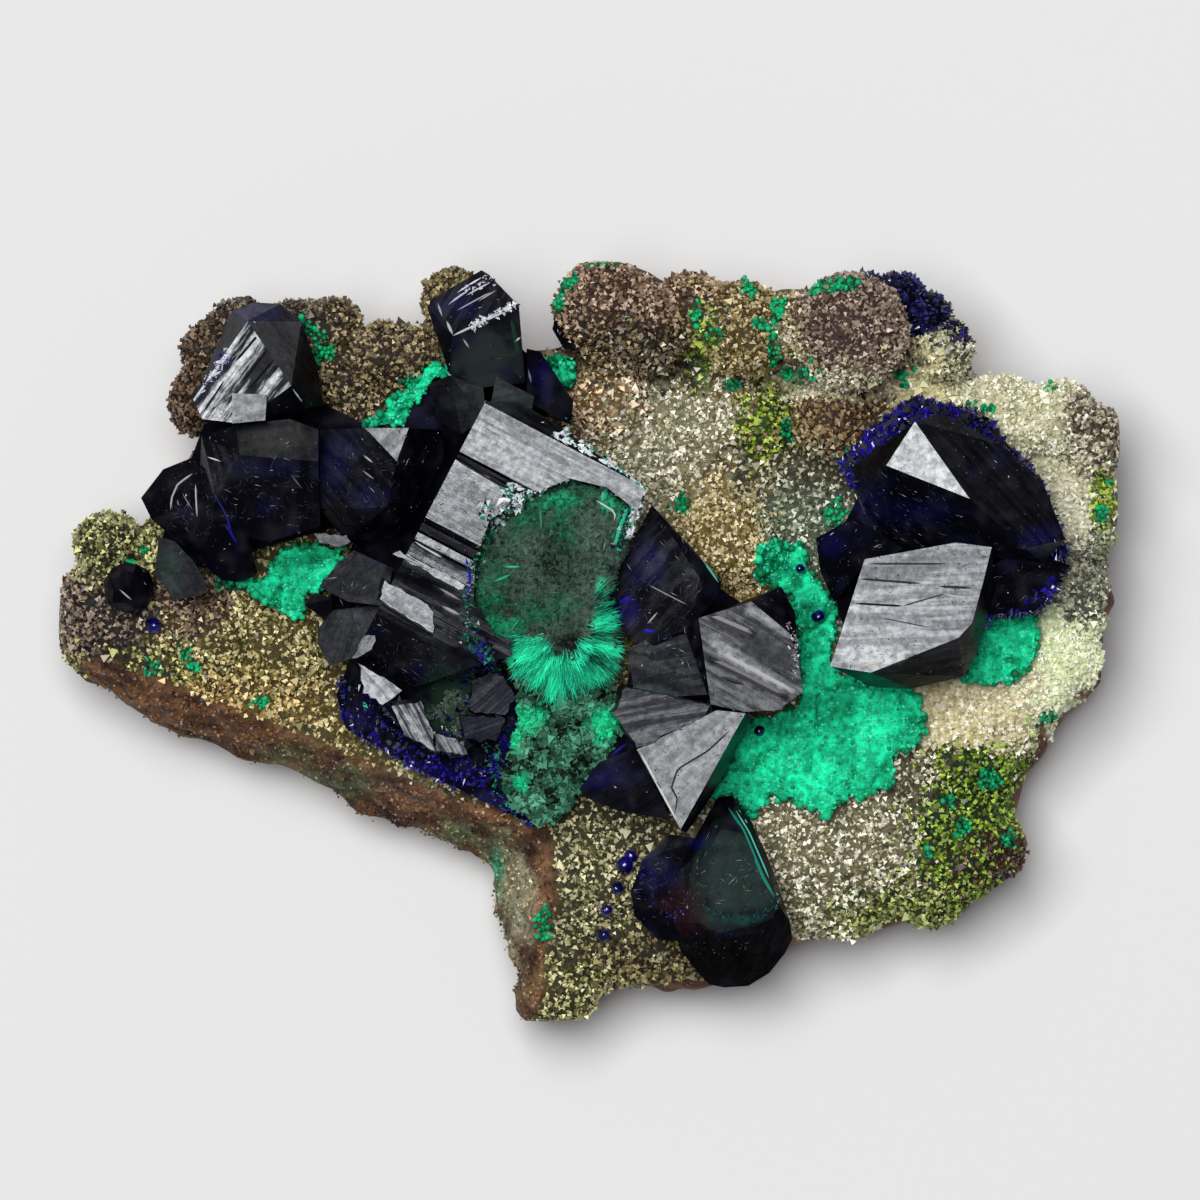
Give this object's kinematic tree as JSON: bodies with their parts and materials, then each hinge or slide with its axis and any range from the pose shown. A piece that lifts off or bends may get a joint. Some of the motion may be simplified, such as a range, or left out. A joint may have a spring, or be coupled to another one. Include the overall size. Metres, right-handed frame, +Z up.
{
  "type": "azurite specimen",
  "caption": "Loose piece of lumpy matrix rock, flat underneath, with dark azurite crystals and green malachite crusts grown on its upper face.",
  "frame": {"origin": "under the middle of the specimen, on the surface it lies on", "axes": "+X along its longest side, +Y across its face, +Z up, out of the face that the crystals grow on"},
  "size_m": [0.071, 0.0508, 0.024],
  "materials": {
    "matrix": "rough limonite and siliceous matrix under a druse of tiny grains",
    "azurite": "glassy crystal faces, nearly black, deep blue at thin edges",
    "malachite": "velvety fibrous crust"
  },
  "bodies": {
    "root": {"matrix_rock": "matrix", "azurite_centre_cluster": "azurite", "azurite_middle_cluster": "azurite", "azurite_lower_crystals": "azurite", "azurite_left_cluster": "azurite", "azurite_right_cluster": "azurite", "azurite_small_top_crystal": "azurite", "azurite_small_left_crystal": "azurite", "azurite_top_right_crust": "azurite", "malachite_in_centre_crystal": "malachite", "malachite_crust_centre": "malachite", "malachite_crust_right": "malachite", "malachite_crust_left": "malachite", "malachite_crust_upper_left": "malachite", "malachite_crust_top": "malachite"}
  },
  "joints": []
}
